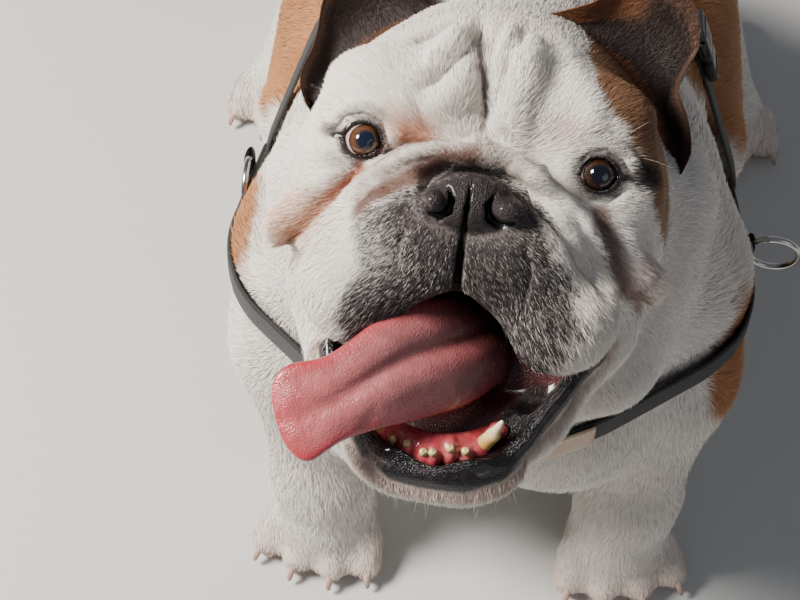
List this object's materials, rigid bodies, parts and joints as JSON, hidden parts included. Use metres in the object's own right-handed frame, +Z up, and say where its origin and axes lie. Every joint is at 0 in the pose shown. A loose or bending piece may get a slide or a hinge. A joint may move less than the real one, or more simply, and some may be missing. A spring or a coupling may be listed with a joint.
{
  "type": "english bulldog",
  "caption": "English bulldog sitting with its head raised, mouth open and tongue out to one side, in a walking harness.",
  "frame": {"origin": "on the floor, under the middle of the dog's bounding box", "axes": "-Y the way the dog faces, +X its left side, +Z up"},
  "size_m": [0.4489, 0.6509, 0.4958],
  "materials": {
    "white_coat": "short dense fur, white",
    "tan_coat": "short dense fur, tan",
    "wet_flesh": "wet, glossy",
    "eye": "wet, clear and glossy",
    "claw_horn": "satin horn",
    "webbing": "woven, black",
    "steel": "bright",
    "hide": "smooth, beige"
  },
  "bodies": {
    "root": {"buckle": "webbing", "chest": "white_coat", "chest_strap": "webbing", "claw_forepaw_left_1": "claw_horn", "claw_forepaw_left_2": "claw_horn", "claw_forepaw_left_3": "claw_horn", "claw_forepaw_left_4": "claw_horn", "claw_forepaw_right_1": "claw_horn", "claw_forepaw_right_2": "claw_horn", "claw_forepaw_right_3": "claw_horn", "claw_forepaw_right_4": "claw_horn", "claw_hind_paw_left_1": "claw_horn", "claw_hind_paw_left_2": "claw_horn", "claw_hind_paw_left_3": "claw_horn", "claw_hind_paw_left_4": "claw_horn", "claw_hind_paw_right_1": "claw_horn", "claw_hind_paw_right_2": "claw_horn", "claw_hind_paw_right_3": "claw_horn", "claw_hind_paw_right_4": "claw_horn", "ear_left": "tan_coat", "ear_right": "tan_coat", "eye_left": "eye", "eye_right": "eye", "foreleg_left": "white_coat", "foreleg_right": "white_coat", "forepaw_left": "white_coat", "forepaw_right": "white_coat", "girth_strap": "webbing", "head": "white_coat", "hind_paw_left": "white_coat", "hind_paw_right": "white_coat", "loin": "tan_coat", "lower_gum": "wet_flesh", "lower_jaw": "white_coat", "neck": "white_coat", "ring_back": "steel", "ring_left": "steel", "ring_right": "steel", "strap_tab": "hide", "tail": "tan_coat", "thigh_left": "tan_coat", "thigh_right": "tan_coat", "tongue": "wet_flesh"}
  },
  "joints": []
}
